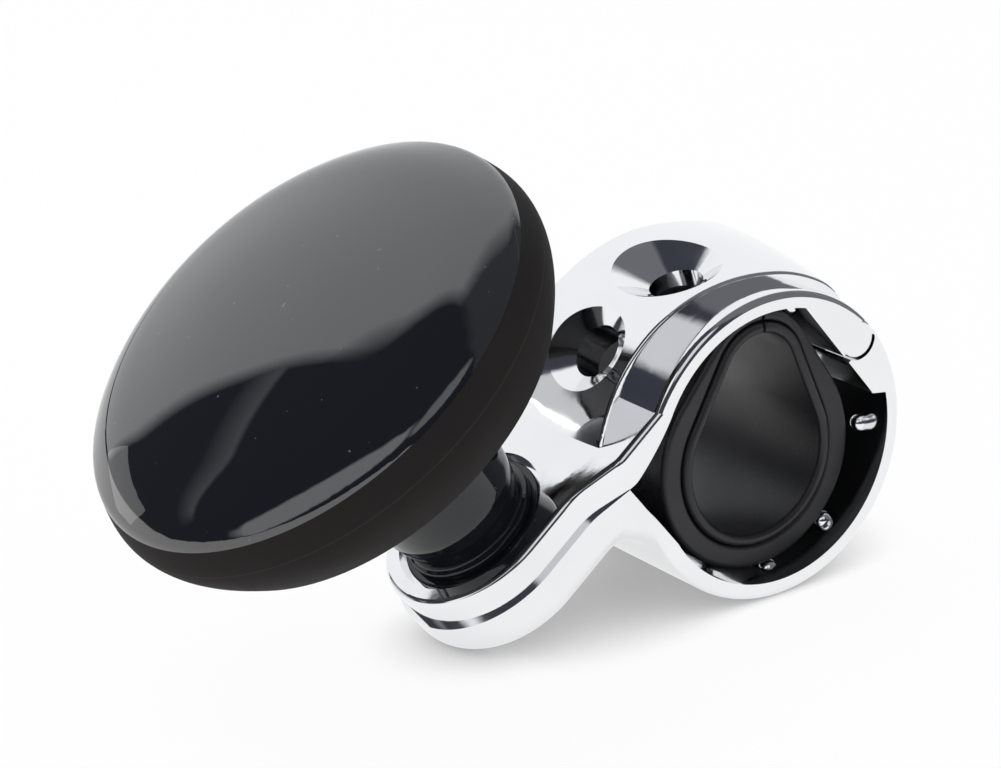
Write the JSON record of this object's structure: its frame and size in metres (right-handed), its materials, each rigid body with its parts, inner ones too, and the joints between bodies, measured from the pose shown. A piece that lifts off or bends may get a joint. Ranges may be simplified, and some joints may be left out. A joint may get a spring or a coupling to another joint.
{
  "type": "steering wheel spinner knob",
  "caption": "Round domed knob that spins on a ball bearing above a short arm, with a hinged chrome ring that clamps on a steering wheel rim over rubber liners.",
  "frame": {"origin": "centre of the round part of the rubber-lined rim opening, halfway along its width", "axes": "+Y along the opening, +Z along the knob's spindle towards the knob's dome, the knob on the -X side"},
  "size_m": [0.0908, 0.0662, 0.0865],
  "materials": {
    "chrome_casting": "mirror-bright chrome plate on a zinc casting",
    "rubber": "moulded matte black rubber",
    "gloss_black": "high-gloss black",
    "soft_touch": "soft-touch matte black",
    "matte_black": "fine-textured black",
    "cage_plastic": "natural nylon",
    "steel": "ground steel",
    "dark_steel": "black oxide steel"
  },
  "bodies": {
    "clamp": {"upper_clamp_half": "chrome_casting", "hinge_pin": "steel", "spindle": "steel", "neck_flange": "gloss_black", "neck_collar": "gloss_black", "bearing_inner_race": "steel", "spindle_washer": "steel", "spindle_nut": "steel", "outer_liner": "rubber", "inner_liner": "rubber"},
    "lower_clamp": {"lower_clamp_half": "chrome_casting"},
    "screw": {"clamp_screw": "dark_steel"},
    "knob": {"knob_cap": "gloss_black", "knob_rim": "soft_touch", "knob_base": "matte_black", "base_screw_1": "dark_steel", "base_screw_2": "dark_steel", "base_screw_3": "dark_steel", "bearing_outer_race": "steel", "bearing_circlip": "dark_steel"},
    "bearing_core": {"bearing_cage": "cage_plastic", "bearing_balls": "steel"}
  },
  "joints": [
    {"name": "knob_spin", "type": "hinge", "parent": "clamp", "child": "knob", "pos_m": [-0.0318, 0, 0.055], "axis": [0, 0, 1], "continuous": true},
    {"name": "cage_spin", "type": "hinge", "parent": "clamp", "child": "bearing_core", "pos_m": [-0.0318, 0, 0.055], "axis": [0, 0, 1], "continuous": true},
    {"name": "clamp_swing", "type": "hinge", "parent": "clamp", "child": "lower_clamp", "pos_m": [0.02009, 0, 0.00283], "axis": [0, -1, 0], "range_deg": [0, 50]},
    {"name": "screw_out", "type": "slide", "parent": "lower_clamp", "child": "screw", "axis": [0, 0, -1], "range_m": [0, 0.012]}
  ],
  "couplings": [
    {"joint": "cage_spin", "follows": "knob_spin", "ratio": 0.6323}
  ]
}
